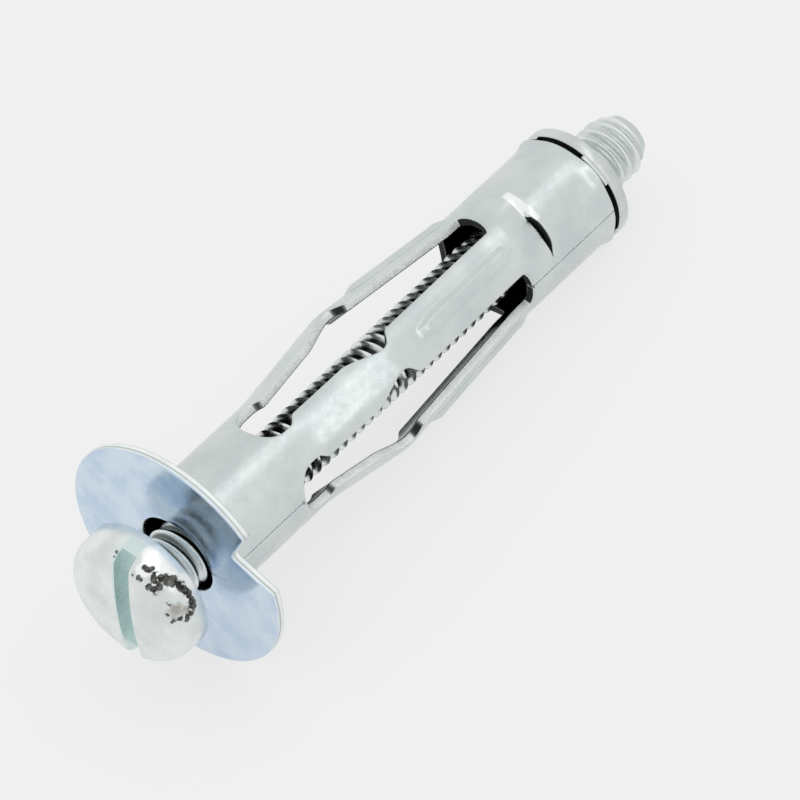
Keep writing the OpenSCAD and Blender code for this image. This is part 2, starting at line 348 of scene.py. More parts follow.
def lance(x, a, leg):
    """How far the sheet is pressed in: slowly in front of the slit and back up at once behind it."""
    if leg not in LANCED_LEGS:
        return 0 * x
    front = smooth((x - slit_x(a) + LANCE_LEAD) / LANCE_LEAD)
    back = LANCE_BACK * (1 - smooth((a - SLIT_FROM + LANCE_EASE) / (2 * LANCE_EASE))) + LANCE_SNAP
    depth = np.where(x <= slit_x(a) + HAIR, front, 1 - smooth((x - slit_x(a)) / back))
    return LANCE_DEPTH * depth * window(a, LANCE_FROM, LANCE_TO, LANCE_FLAT)


def edge_drop(d):
    """How far the rounded edge falls below the skin at a distance d from the cut."""
    d = np.clip(d, 0, EDGE_R)
    return EDGE_R - np.sqrt(np.maximum(EDGE_R ** 2 - (EDGE_R - d) ** 2, 0))


def tube_point(x, a, leg, d, pressed=True):
    """Outer and inner point of the sheet at x, a degrees from the leg's middle and d from the cut."""
    turn = math.radians(LEG_CENTRES[leg])
    out = leg_rise(x, leg)
    step = relief(x, a, leg) if pressed else 0 * x
    drop = edge_drop(d)
    w = turn + np.radians(a)
    pair = []
    for r in (TUBE_R + step - drop, BORE_R + step + drop):
        y = out * math.cos(turn) + r * np.cos(w)
        z = out * math.sin(turn) + r * np.sin(w)
        pair.append(np.stack([x + 0 * w, y, z], -1))
    return np.stack(pair, -2)


def slot_edge(leg):
    """A leg's edge from the slot's front tip to its rear tip: x, and the arc from the leg's middle."""
    full = math.radians(QUARTER) * MID_R
    turns = np.radians(np.linspace(0, 90, SLOT_ROUND_ROWS))
    front_x = SLOT_START + FRONT_ROUND * (1 - np.cos(turns))
    rear_x = SLOT_END - REAR_ROUND * (1 - np.cos(turns[::-1]))
    middle_x = np.linspace(front_x[-1], rear_x[0], SLOT_ROWS)[1:-1]
    front_s = full - (full - leg_half(front_x, leg)) * np.sin(turns)
    rear_s = full - (full - leg_half(rear_x, leg)) * np.sin(turns[::-1])
    x = np.concatenate([front_x, middle_x, rear_x])
    s = np.concatenate([front_s, leg_half(middle_x, leg), rear_s])
    return x, s


def inset(x, s, d, seam):
    """The outline moved by d into the sheet."""
    dx, ds = np.gradient(x), np.gradient(s)
    length = np.hypot(dx, ds)
    nx, ns = ds / length, -dx / length
    if seam:
        nx[0], ns[0], nx[-1], ns[-1] = -1, -1, 1, -1
    else:
        nx[0], ns[0], nx[-1], ns[-1] = -1, 0, 1, 0
    return x + nx * d, s + ns * d


def columns(leg):
    """Angles of the columns across a leg's quarter, from its middle, up to the strips beside the seam."""
    stop = QUARTER - math.degrees((SEAM_GAP / 2 + STRIP) / MID_R)
    plain = np.linspace(-QUARTER, QUARTER, QUARTER_COLUMNS)
    if leg == SEAM_AFTER_LEG + 1:
        return np.concatenate([[-stop], plain[2:]])
    if leg != SEAM_AFTER_LEG:
        return plain
    # The leg beside the notch has columns along both of the notch's sides
    centre = LEG_CENTRES[leg]
    far, bottom, near = notch_corners()
    far_side = [far + (bottom - far) * t for t in np.linspace(0, 1, NOTCH_FAR_COLUMNS)[1:]]
    near_side = [bottom + (near - bottom) * t for t in np.linspace(0, 1, NOTCH_NEAR_COLUMNS)[1:]]
    cut = [math.degrees(math.atan2(p[1], p[0])) % 360 - centre for p in far_side + near_side]
    before = np.linspace(-QUARTER, NOTCH_FAR - centre, BESIDE_NOTCH_COLUMNS)
    return np.concatenate([before, cut, [(cut[-1] + stop) / 2, stop]])


def polar(r, turn):
    return np.array([r * math.cos(math.radians(turn)), r * math.sin(math.radians(turn))])


def notch_corners():
    return polar(FLANGE_R, NOTCH_FAR), polar(*NOTCH_BOTTOM), polar(FLANGE_R, NOTCH_NEAR)


def flange_outline(turns):
    """Points of the flange's rim and its notch at the given angles about the axis."""
    far, bottom, near = notch_corners()
    to_far = (far - bottom) / np.linalg.norm(far - bottom)
    to_near = (near - bottom) / np.linalg.norm(near - bottom)
    half = math.acos(to_far @ to_near) / 2
    middle = (to_far + to_near) / np.linalg.norm(to_far + to_near)
    centre = bottom + middle * NOTCH_ROUND / math.sin(half)
    points = []
    for turn in turns:
        ray = polar(1, turn)
        p = ray * FLANGE_R
        if NOTCH_FAR < turn % 360 < NOTCH_NEAR:
            a, b = (far, bottom) if turn % 360 < NOTCH_BOTTOM[1] else (bottom, near)
            e = b - a
            reach = (a[0] * e[1] - a[1] * e[0]) / (ray[0] * e[1] - ray[1] * e[0])
            if np.linalg.norm(ray * reach - bottom) < NOTCH_ROUND / math.tan(half):
                across_ray = ray @ centre
                reach = across_ray - math.sqrt(across_ray ** 2 - centre @ centre + NOTCH_ROUND ** 2)
            p = ray * reach
        points.append(p)
    return np.array(points)


class Sheet:
    """A sheet drawn as patches of node rows, skinned on both sides and closed along every cut."""

    def __init__(self):
        self.found = {}
        self.outer = []
        self.inner = []
        self.faces = []

    def node(self, pair):
        """The number of the node at an outer point, which is made where there is none yet."""
        key = tuple(int(round(c * NODES_PER_MM)) for c in pair[0])
        if key not in self.found:
            self.found[key] = len(self.outer)
            self.outer.append(pair[0])
            self.inner.append(pair[1])
        return self.found[key]

    def patch(self, rows):
        """rows is an array of rows, columns, (outer, inner) and coordinates."""
        index = [[self.node(pair) for pair in row] for row in rows]
        for low, high in zip(index, index[1:]):
            for j in range(len(low) - 1):
                ring = [low[j], low[j + 1], high[j + 1], high[j]]
                ring = [v for k, v in enumerate(ring) if v != ring[k - 1]]
                if len(ring) > 2:
                    self.faces.append(ring)

    def mesh(self, name):
        """The outer and inner skin, and along every cut a row of faces with the second material."""
        n = len(self.outer)
        faces = [list(f) for f in self.faces] + [[v + n for v in reversed(f)] for f in self.faces]
        sides = {(f[k], f[(k + 1) % len(f)]) for f in self.faces for k in range(len(f))}
        skin = len(faces)
        for a, b in sorted(sides):
            if (b, a) not in sides:
                faces.append([b, a, a + n, b + n])
        obj = make_mesh(name, np.array(self.outer + self.inner), faces)
        slots = [int(i >= skin) for i in range(len(obj.data.polygons))]
        obj.data.polygons.foreach_set("material_index", slots)
        return obj


def make_mesh(name, points_mm, faces):
    """A smooth shaded object from points in millimetres."""
    mesh = bpy.data.meshes.new(name)
    mesh.from_pydata((np.asarray(points_mm) * MM).tolist(), [], faces)
    mesh.validate()
    mesh.update()
    mesh.shade_smooth()
    obj = bpy.data.objects.new(name, mesh)
    bpy.context.scene.collection.objects.link(obj)
    return obj


def build_sleeve():
    sheet = Sheet()
    for leg in range(4):
        add_flange(sheet, leg)
        add_front_collar(sheet, leg)
        add_leg(sheet, leg)
        add_rear_collar(sheet, leg)
    return sheet.mesh("sleeve_sheet")


def across(leg, gap=SEAM_GAP):
    """A row's columns with the strips beside the seam: angles, and distances from the seam's cut."""
    body = columns(leg)
    strip = np.array(STRIP_ROWS[1:])
    a = QUARTER - np.degrees((gap / 2 + strip) / MID_R)
    far = np.full(len(body), STRIP)
    if leg == SEAM_AFTER_LEG:
        return np.concatenate([body, a]), np.concatenate([far, strip])
    if leg == SEAM_AFTER_LEG + 1:
        return np.concatenate([-a[::-1], body]), np.concatenate([strip[::-1], far])
    return body, far


def add_front_collar(sheet, leg):
    a, d = across(leg)
    stop = SLOT_START - STRIP
    rows = []
    # The root bend behind the flange and the mouth's edge in front of it
    w = np.radians(a + LEG_CENTRES[leg])
    for t in np.radians(np.linspace(90, 0, ROOT_ROWS)):
        drop = edge_drop(d)
        outer_x = ROOT_R - (ROOT_R + drop) * math.sin(t)
        outer_r = TUBE_R + ROOT_R - (ROOT_R + drop) * math.cos(t)
        inner_x = MOUTH_R - SHEET_T - (MOUTH_R - drop) * math.sin(t)
        inner_r = HOLE_R + MOUTH_R - (MOUTH_R - drop) * math.cos(t)
        rows.append(np.stack([np.stack([outer_x + 0 * w, outer_r * np.cos(w), outer_r * np.sin(w)], -1),
                              np.stack([inner_x + 0 * w, inner_r * np.cos(w), inner_r * np.sin(w)], -1)], -2))
    # Inside, the hole's wall ends in a step out to the tube's bore
    inner_run = [(-STEP_EDGE, HOLE_R), (0, HOLE_R + STEP_EDGE), (0, BORE_R - STEP_EDGE), (STEP_EDGE, BORE_R)]
    inner_run += [(x, BORE_R) for x in np.linspace(STEP_EDGE, stop, COLLAR_ROWS)[1:]]
    outer_run = np.linspace(ROOT_R, stop, len(inner_run) + 1)[1:]
    for outer_x, (inner_x, inner_r) in zip(outer_run, inner_run):
        row = tube_point(np.full(len(a), outer_x), a, leg, d, pressed=False)
        row[:, 1, 0] = inner_x
        row[:, 1, 1:] *= inner_r / BORE_R
        rows.append(row)
    sheet.patch(rows)


def add_flange(sheet, leg):
    turns = across(leg, 0)[0] + LEG_CENTRES[leg]
    line = flange_outline(turns)
    beside = 0.1
    e = flange_outline(turns + beside) - flange_outline(turns - beside)
    e /= np.linalg.norm(e, axis=1)[:, None]
    inward = np.stack([-e[:, 1], e[:, 0]], -1)
    rows = []
    for d_row in reversed(STRIP_ROWS):
        p = line + inward * d_row
        rows.append(flange_row(p, p, np.full(len(turns), d_row)))
    edge = line + inward * STRIP
    for f in np.linspace(0, 1, FLANGE_ROWS)[1:]:
        opening = float(smooth((f - SEAM_OPENS) / (1 - SEAM_OPENS)))
        a, d = across(leg, SEAM_GAP * opening)
        w = np.radians(a + LEG_CENTRES[leg])
        ray = np.stack([np.cos(w), np.sin(w)], -1)
        outer = edge + (ray * (TUBE_R + ROOT_R) - edge) * f
        inner = edge + (ray * (HOLE_R + MOUTH_R) - edge) * f
        rows.append(flange_row(outer, inner, STRIP + (d - STRIP) * opening))
    sheet.patch(rows)


def flange_row(outer, inner, d):
    """A row of the flange's back and front points, with d as their distance from the cut."""
    drop = edge_drop(d)
    return np.stack([np.column_stack([-drop, outer]), np.column_stack([drop - SHEET_T, inner])], -2)


def add_leg(sheet, leg):
    x, s = slot_edge(leg)
    edges = {}
    for side in (-1, 1):
        seam = (leg, side) in ((SEAM_AFTER_LEG, 1), (SEAM_AFTER_LEG + 1, -1))
        line = s.copy()
        if seam:
            line[[0, -1]] -= SEAM_GAP / 2
        nodes = []
        for d in STRIP_ROWS:
            px, ps = inset(x, line, d, seam)
            nodes.append(tube_point(px, side * np.degrees(ps / MID_R), leg, np.full(len(px), d)))
            if d == STRIP:
                edges[side] = (px, np.degrees(ps / MID_R))
        strip = np.stack(nodes, 1)
        sheet.patch(strip if side > 0 else strip[:, ::-1])
    # Between the strips the rows run straight across, and bend at their ends to meet the strips' nodes
    left_x, left_a = edges[-1]
    right_x, right_a = edges[1]
    body = columns(leg)
    share = np.where(body < 0, -body / body[0], body / body[-1])
    bending = np.abs(share) ** ROW_BENDING
    middle = np.linspace(SLOT_START - STRIP, SLOT_END + STRIP, len(x))
    far = np.full(len(body), STRIP)
    rows = [tube_point(np.full(len(body), SLOT_START - STRIP), body, leg, far)]
    for i in range(1, len(x) - 1):
        a = np.where(share < 0, share * left_a[i], share * right_a[i])
        end_x = np.where(share < 0, left_x[i], right_x[i])
        rows.append(tube_point(middle[i] + (end_x - middle[i]) * bending, a, leg, far))
    rows.append(tube_point(np.full(len(body), SLOT_END + STRIP), body, leg, far))
    sheet.patch(rows)


def add_rear_collar(sheet, leg):
    a, seam_d = across(leg)
    opening = 0 * a
    line = np.full(len(a), SLIT_X)
    if leg in LANCED_LEGS:
        opening = window(a, SLIT_FROM, SLIT_TO, SLIT_FLAT)
        line = SLIT_X + (slit_x(a) - SLIT_X) * smooth((QUARTER - a) / (QUARTER - SLIT_TO))
    cut = np.clip(opening * LIP_GAIN, 0, 1)
    # In front of the slit's line, with the slit's front lip last
    rows = []
    for f in np.linspace(0, 1, LANCE_ROWS):
        rows.append(tube_point(SLOT_END + STRIP + (line - SLOT_END - 2 * STRIP) * f, a, leg, seam_d))
    for d in STRIP_ROWS[1:]:
        lip_d = np.minimum(seam_d, d + (STRIP - d) * (1 - cut))
        rows.append(tube_point(line - d, a, leg, lip_d))
    sheet.patch(rows)
    # Behind it, from the rear lip to the tube's end
    behind = line + SLIT_W * opening
    rows = []
    for d in reversed(STRIP_ROWS):
        lip_d = np.minimum(seam_d, d + (STRIP - d) * (1 - cut))
        rows.append(tube_point(behind + d + 2 * HAIR, a, leg, lip_d))
    start = behind + STRIP
    for f in np.linspace(0, 1, REAR_ROWS)[1:] ** REAR_CROWDING:
        rows.append(tube_point(start + (SLEEVE_END - STRIP - start) * f, a, leg, seam_d))
    for d in STRIP_ROWS[1:]:
        rows.append(tube_point(np.full(len(a), SLEEVE_END - d), a, leg, np.minimum(seam_d, d)))
    sheet.patch(rows)


# ---------------------------------------------------------------- turned pieces
def lathe(name, profile, steps, closed=True):
    """A solid turned about X from points (x, radius). A radius of 0 makes a pole."""
    turns = np.radians(np.linspace(0, 360, steps, endpoint=False))
    points = []
    rings = []
    for x, r in profile:
        if r == 0:
            rings.append([len(points)] * steps)
            points.append((x, 0, 0))
        else:
            rings.append(list(range(len(points), len(points) + steps)))
            points += [(x, r * math.cos(t), r * math.sin(t)) for t in turns]
    faces = []
    pairs = list(zip(rings, rings[1:])) + ([(rings[-1], rings[0])] if closed else [])
    for low, high in pairs:
        for j in range(steps):
            k = (j + 1) % steps
            ring = [low[j], low[k], high[k], high[j]]
            ring = [v for n, v in enumerate(ring) if v != ring[n - 1]]
            if len(ring) > 2:
                faces.append(ring)
    return make_mesh(name, points, faces)


def arc(cx, cr, radius, start, stop, steps):
    """Points (x, radius) on an arc; angles are from +X towards the outside."""
    return [(cx + radius * math.cos(math.radians(t)), cr + radius * math.sin(math.radians(t)))
            for t in np.linspace(start, stop, steps)]


def build_thread(start, stop, crest_r):
    """Points and faces of a right-handed rolled thread from start to stop, tapered at its tip."""
    first = math.floor(start / PITCH) - 2
    last = math.ceil(stop / PITCH) + 2
    turns = np.linspace(0, 1, THREAD_COLUMNS, endpoint=False)
    points = []
    rows = []
    for n in range(first, last):
        for place, depth in THREAD_SHAPE:
            x = (n + place + turns) * PITCH
            lead = np.clip((stop - x) / TIP_LEN, 0, 1)
            r = np.minimum(crest_r - THREAD_DEPTH * depth, crest_r - TIP_DEPTH * (1 - lead))
            x = np.clip(x, start, stop)
            y = r * np.cos(2 * math.pi * turns)
            z = r * np.sin(2 * math.pi * turns)
            rows.append(range(len(points), len(points) + THREAD_COLUMNS))
            points += zip(x, y, z)
    faces = []
    for i in range(len(rows) - 1):
        for j in range(THREAD_COLUMNS):
            k = (j + 1) % THREAD_COLUMNS
            # After a whole turn the last column meets the first one of the next pitch
            step = 0 if k else len(THREAD_SHAPE)
            if i + 1 + step < len(rows):
                faces.append([rows[i][j], rows[i + step][k], rows[i + 1 + step][k], rows[i + 1][j]])
    return points, faces


def build_head():
    """The screw's head: a shallow crown, a rounded edge, a driver slot and its soft edges."""
    edge_start = HEAD_R - HEAD_EDGE_R
    crown = [(HEAD_TOP + crown_fall(r), r) for r in np.linspace(0, edge_start, CROWN_ROWS)]
    shoulder = []
    for t in np.radians(np.linspace(0, 90, SHOULDER_ROWS)[1:]):
        r = edge_start + HEAD_EDGE_R * math.sin(t)
        fall = max(HEAD_EDGE_R * (1 - math.cos(t)), crown_fall(r))
        shoulder.append((HEAD_TOP + fall, r))
    under = [(HEAD_X + x, r) for x, r in UNDER_HEAD]
    head = lathe("screw_head_blank", crown + shoulder + under, HEAD_COLUMNS, closed=False)
    cutter = build_drive_cutter()
    apply_modifier(head, "BOOLEAN", operation="DIFFERENCE", object=cutter, solver="EXACT")
    bpy.data.objects.remove(cutter)
    apply_modifier(head, "BEVEL", width=DRIVE_BEVEL * MM, segments=3, limit_method="ANGLE",
                   angle_limit=math.radians(DRIVE_BEVEL_FROM))
    return head


def crown_fall(r):
    """How far the crown has fallen away at a distance r from the axis."""
    return CROWN_R - math.sqrt(CROWN_R ** 2 - r * r)


def build_drive_cutter():
    half = DRIVE_W / 2
    over = 1
    corners = [(x, y, z) for x in (HEAD_TOP - over, HEAD_TOP + DRIVE_DEPTH)
               for y in (-HEAD_R - over, HEAD_R + over)
               for z in (DRIVE_OFF - half, DRIVE_OFF + half)]
    mesh = bpy.data.meshes.new("drive_cut")
    mesh.from_pydata((np.array(corners) * MM).tolist(), [],
                     [(0, 1, 3, 2), (4, 6, 7, 5), (0, 4, 5, 1), (2, 3, 7, 6), (0, 2, 6, 4), (1, 5, 7, 3)])
    mesh.transform(Matrix.Rotation(math.radians(DRIVE_TURN), 4, "X"))
    cutter = bpy.data.objects.new("drive_cut", mesh)
    bpy.context.scene.collection.objects.link(cutter)
    return cutter


def build_screw():
    head = build_head()
    points, faces = build_thread(HEAD_X + THREAD_START, TIP_X, SCREW_R)
    thread = make_mesh("screw_thread", points, faces)
    tip_r = SCREW_R - TIP_DEPTH
    lap = 0.01
    tip_outline = [(TIP_X - lap, tip_r + 2 * lap), (TIP_X, tip_r), (TIP_X, 0)]
    tip = lathe("screw_tip", tip_outline, THREAD_COLUMNS, closed=False)
    screw = join("screw_body", [head, thread, tip])
    down = Vector((0, *polar(1, SAG_TURN)))
    middle = (SLIT_X + NUT_END) / 2
    for vertex in screw.data.vertices:
        vertex.co += down * SAG * (middle * MM - vertex.co.x) / middle
    return screw


def apply_modifier(obj, kind, **settings):
    """Adds a modifier with these settings and makes its result the object's mesh."""
    modifier = obj.modifiers.new(kind.title(), kind)
    for key, value in settings.items():
        setattr(modifier, key, value)
    with bpy.context.temp_override(object=obj, active_object=obj, selected_objects=[obj]):
        bpy.ops.object.modifier_apply(modifier=modifier.name)


def join(name, objects):
    """Joins objects, in their order, into one with this name."""
    first = objects[0]
    with bpy.context.temp_override(object=first, active_object=first, selected_objects=objects,
                                   selected_editable_objects=objects):
        bpy.ops.object.join()
    first.name = name
    first.data.name = name
    return first


def build_nut():
    """The nut's body and rim with its chamfered bore, and the four lugs."""
    body = [(NUT_FRONT, NUT_BORE_R + BORE_CHAMFER_FRONT), (NUT_FRONT, NUT_BODY_R - NUT_NOSE),
            (NUT_FRONT + NUT_NOSE, NUT_BODY_R), (NUT_RIM_X, NUT_BODY_R)]
    rim_r = NUT_R - NUT_RIM_ROUND
    rim = [(NUT_RIM_X, rim_r)]
    rim += arc(NUT_RIM_X + NUT_RIM_ROUND, rim_r, NUT_RIM_ROUND, 180, 90, 4)[1:]
    rim += arc(NUT_END - NUT_RIM_ROUND, rim_r, NUT_RIM_ROUND, 90, 0, 4)
    bore = [(NUT_END, NUT_BORE_R + BORE_CHAMFER_REAR), (NUT_END - BORE_CHAMFER_REAR, NUT_BORE_R),
            (NUT_FRONT + BORE_CHAMFER_FRONT, NUT_BORE_R)]
    profile = body + rim + bore
    nut = lathe("nut_body", profile[::-1], NUT_COLUMNS)
    lugs = [build_lug(centre) for centre in LEG_CENTRES]
    return join("nut_body", [nut] + lugs)


def build_lug(centre):
    """One of the four lugs between the tube's end and the rim."""
    turns = np.radians(np.linspace(centre - LUG_HALF_ANGLE, centre + LUG_HALF_ANGLE, LUG_COLUMNS))
    points = []
    for x in (SLEEVE_END + LUG_GAP, NUT_RIM_X + LUG_LAP):
        for r in (NUT_BODY_R - LUG_LAP, NUT_R - LUG_INSET):
            points += [(x, r * math.cos(t), r * math.sin(t)) for t in turns]
    n = len(turns)
    faces = []
    for a in range(n - 1):
        b = a + 1
        faces.append([a, b, b + n, a + n])
        faces.append([a + 2 * n, a + 3 * n, b + 3 * n, b + 2 * n])
        faces.append([a + n, b + n, b + 3 * n, a + 3 * n])
        faces.append([a, a + 2 * n, b + 2 * n, b])
    faces.append([0, n, 3 * n, 2 * n])
    faces.append([n - 1, 3 * n - 1, 4 * n - 1, 2 * n - 1])
    lug = make_mesh("lug", points, faces)
    apply_modifier(lug, "BEVEL", width=LUG_BEVEL * MM, segments=2, limit_method="ANGLE",
                   angle_limit=math.radians(LUG_BEVEL_FROM))
    return lug


# ---------------------------------------------------------------- materials
def add_node(tree, kind, **inputs):
    node = tree.nodes.new(kind)
    for key, value in inputs.items():
        node.inputs[key.replace("_", " ")].default_value = value
    return node


class Shading:
    """A material's node tree, with the anchor's own coordinates in millimetres at hand."""

    def __init__(self, name):
        self.material = bpy.data.materials.new(name)
        self.material.use_nodes = True
        self.tree = self.material.node_tree
        self.tree.nodes.clear()
        self.out = self.tree.nodes.new("ShaderNodeOutputMaterial")
        own = self.tree.nodes.new("ShaderNodeTexCoord")
        scale = self.tree.nodes.new("ShaderNodeVectorMath")
        scale.operation = "SCALE"
        scale.inputs["Scale"].default_value = 1 / MM
        self.link(own.outputs["Object"], scale.inputs[0])
        self.place = scale.outputs[0]
        self.x, y, z = self.parts(self.place)
        self.radius = self.power(self.math("ADD", self.power(y, 2), self.power(z, 2)), 0.5)
        # How far a face looks along the axis and away from it
        normal = own.outputs["Normal"]
        self.facing_back = self.parts(normal)[0]
        self.facing_out = self.dot(normal, self.vector("MULTIPLY", self.place, (0, 1, 1)))

    def link(self, value, socket):
        """Sets a socket to a number, or joins it to another node's output."""
        if isinstance(value, (int, float)):
            socket.default_value = value
        else:
            self.tree.links.new(value, socket)

    def parts(self, vector):
        node = self.tree.nodes.new("ShaderNodeSeparateXYZ")
        self.link(vector, node.inputs[0])
        return node.outputs

    def math(self, kind, a, b=0.0):
        node = self.tree.nodes.new("ShaderNodeMath")
        node.operation = kind
        self.link(a, node.inputs[0])
        self.link(b, node.inputs[1])
        return node.outputs[0]

    def both(self, a, b):
        """The part that two masks share."""
        return self.math("MULTIPLY", a, b)

    def vector(self, kind, a, b, output="Vector"):
        """b may be a constant vector or a node's output."""
        node = self.tree.nodes.new("ShaderNodeVectorMath")
        node.operation = kind
        self.link(a, node.inputs[0])
        if isinstance(b, tuple):
            node.inputs[1].default_value = b
        else:
            self.link(b, node.inputs[1])
        return node.outputs[output]

    def dot(self, a, b):
        """How far the direction a points along b, from -1 to 1."""
        return self.vector("DOT_PRODUCT", a, self.vector("NORMALIZE", b, (0, 0, 0)), "Value")

    def power(self, a, b):
        return self.math("POWER", self.math("ABSOLUTE", a), b)

    def span(self, value, low, high, start=0.0, stop=1.0):
        """value mapped smoothly from low..high to start..stop."""
        node = self.tree.nodes.new("ShaderNodeMapRange")
        node.interpolation_type = "SMOOTHSTEP"
        for k, item in enumerate((value, low, high, start, stop)):
            self.link(item, node.inputs[k])
        return node.outputs["Result"]

    def noise(self, scale, detail=3.0, stretch=None):
        """Noise with the given number of cells per millimetre."""
        node = add_node(self.tree, "ShaderNodeTexNoise", Scale=scale, Detail=detail, Roughness=0.55)
        where = self.place
        if stretch:
            mapping = self.tree.nodes.new("ShaderNodeMapping")
            mapping.inputs["Scale"].default_value = stretch
            self.link(where, mapping.inputs["Vector"])
            where = mapping.outputs["Vector"]
        self.link(where, node.inputs["Vector"])
        return node.outputs["Fac"]

    def mottled(self, scale, first, second):
        """Two colours in soft clouds."""
        return self.blend(self.span(self.noise(scale), 0.3, 0.7), first, second)

    def uneven(self, low, high, scale=1.9, detail=4):
        """A value that wanders between low and high over the surface."""
        return self.span(self.noise(scale, detail), 0.3, 0.7, low, high)

    def distance(self, spot):
        return self.vector("DISTANCE", self.place, spot, "Value")

    def cover(self, spots, ragged=0.0):
        """How deep a place lies inside the nearest of some spots on the head, in millimetres."""
        depth = None
        for turn, way, size in spots:
            inside = self.math("SUBTRACT", size, self.distance(on_shoulder(turn, way)))
            depth = inside if depth is None else self.math("MAXIMUM", depth, inside)
        return self.math("ADD", depth, ragged)

    def blend(self, mask, first, second):
        """first where the mask is 0 and second where it is 1. Both may be colours or sockets."""
        node = self.tree.nodes.new("ShaderNodeMix")
        node.data_type = "RGBA"
        self.link(mask, node.inputs[0])
        for item, socket in ((first, node.inputs[6]), (second, node.inputs[7])):
            if isinstance(item, tuple):
                socket.default_value = (*item, 1)
            else:
                self.link(item, socket)
        return node.outputs[2]

    def plating(self, colour, rough, grain=0.25):
        """Polished metal with scratches along the axis, fine grain and soft dents."""
        shader = self.tree.nodes.new("ShaderNodeBsdfPrincipled")
        shader.inputs["Metallic"].default_value = 1.0
        self.link(colour, shader.inputs["Base Color"])
        self.link(rough, shader.inputs["Roughness"])
        normal = None
        for height in (self.noise(6.5, 2, (0.06, 1, 1)), self.noise(7.0, 2), self.noise(1.2, 2)):
            bump = add_node(self.tree, "ShaderNodeBump", Strength=grain, Distance=GRAIN_DEPTH * MM)
            self.link(height, bump.inputs["Height"])
            if normal is not None:
                self.link(normal, bump.inputs["Normal"])
            normal = bump.outputs["Normal"]
        self.link(normal, shader.inputs["Normal"])
        self.link(shader.outputs[0], self.out.inputs["Surface"])
        return self.material


def on_shoulder(turn, way):
    """A place on the head's shoulder, some way from where the crown ends."""
    quarter = HEAD_EDGE_R * math.pi / 2
    tilt = min(way, quarter) / HEAD_EDGE_R
    x = HEAD_TOP + HEAD_EDGE_R * (1 - math.cos(tilt)) + max(way - quarter, 0)
    y, z = polar(HEAD_R - HEAD_EDGE_R + HEAD_EDGE_R * math.sin(tilt), turn)
    return (x, y, z)


def sheet_zinc():
    """The sleeve: grey-green zinc, bluish and more polished on the flange's front, with painted shade inside
    and a painted highlight behind the slit's closed end.
    """
    s = Shading("zinc_sheet")
    colour = s.mottled(0.35, SHEET_GREY, SHEET_PALE)
    colour = s.blend(s.span(s.noise(1.6, 5), 0.58, 0.7), colour, SHEET_FLECK)
    # A painted highlight on the step behind the slit's closed end
    step = s.both(s.span(s.x, SLIT_X - 0.1, SLIT_X + 0.02), s.span(s.x, SLIT_X + 0.6, SLIT_X + 0.4))
    highlight_distance = s.distance((SLIT_X + 0.2, *polar(TUBE_R, HIGHLIGHT_TURN)))
    step = s.both(step, s.span(highlight_distance, HIGHLIGHT_TO, HIGHLIGHT_FROM))
    colour = s.blend(step, colour, SHEET_HIGHLIGHT)
    front = s.span(s.x, -0.45, -0.55)
    blue = s.blend(s.span(s.noise(0.5), 0.35, 0.65), FLANGE_BLUE, FLANGE_PALE)
    colour = s.blend(front, colour, blue)
    # Painted shade over the bore, from just behind the flange's front on
    inside = s.both(s.span(s.radius, BORE_R + 0.15, BORE_R + 0.02), s.span(s.x, -0.3, 0.0))
    # Painted shade: the inner side's edges are dark all along, and its middle less so where a leg stands out
    within = s.both(s.span(s.facing_out, -0.1, -0.4), s.span(s.x, 0.0, 0.1))
    within = s.both(within, s.span(s.facing_out, -0.98, -0.9, 0.5, 1.0))
    colour = s.blend(s.math("MAXIMUM", inside, within), colour, INSIDE_SHADE)
    rough = s.math("MULTIPLY", s.uneven(0.2, 0.33), s.span(front, 0, 1, 1.0, 0.55))
    return s.plating(colour, rough)


def cut_zinc():
    """The sheared faces of the sheet: pale and rough, with painted shade where they look forward."""
    s = Shading("zinc_cut")
    colour = s.mottled(1.5, CUT_GREY, CUT_PALE)
    # Painted shade on the faces that look forward
    colour = s.blend(s.span(s.facing_back, -0.4, -0.72), colour, CUT_SHADE)
    # The shear's burnished line along the flange's rim
    line = s.both(s.span(s.x, -0.47, -0.42), s.span(s.x, -0.27, -0.34))
    colour = s.blend(line, colour, CUT_LINE)
    return s.plating(colour, s.uneven(0.65, 0.8, 3.0), 0.05)


def nut_zinc():
    """The nut: grey zinc, with painted shade where it lies deeper than its lugs in front of the rim."""
    s = Shading("zinc_nut")
    colour = s.mottled(0.5, NUT_GREY, NUT_PALE)
    # Painted shade on the body, deeper than the lugs, in front of the rim
    under = s.span(s.radius, NUT_R - 0.08, NUT_R - 0.14)
    inside = s.both(under, s.span(s.x, NUT_RIM_X + 0.04, NUT_RIM_X + 0.02))
    colour = s.blend(inside, colour, INSIDE_SHADE)
    return s.plating(colour, s.uneven(0.2, 0.33))


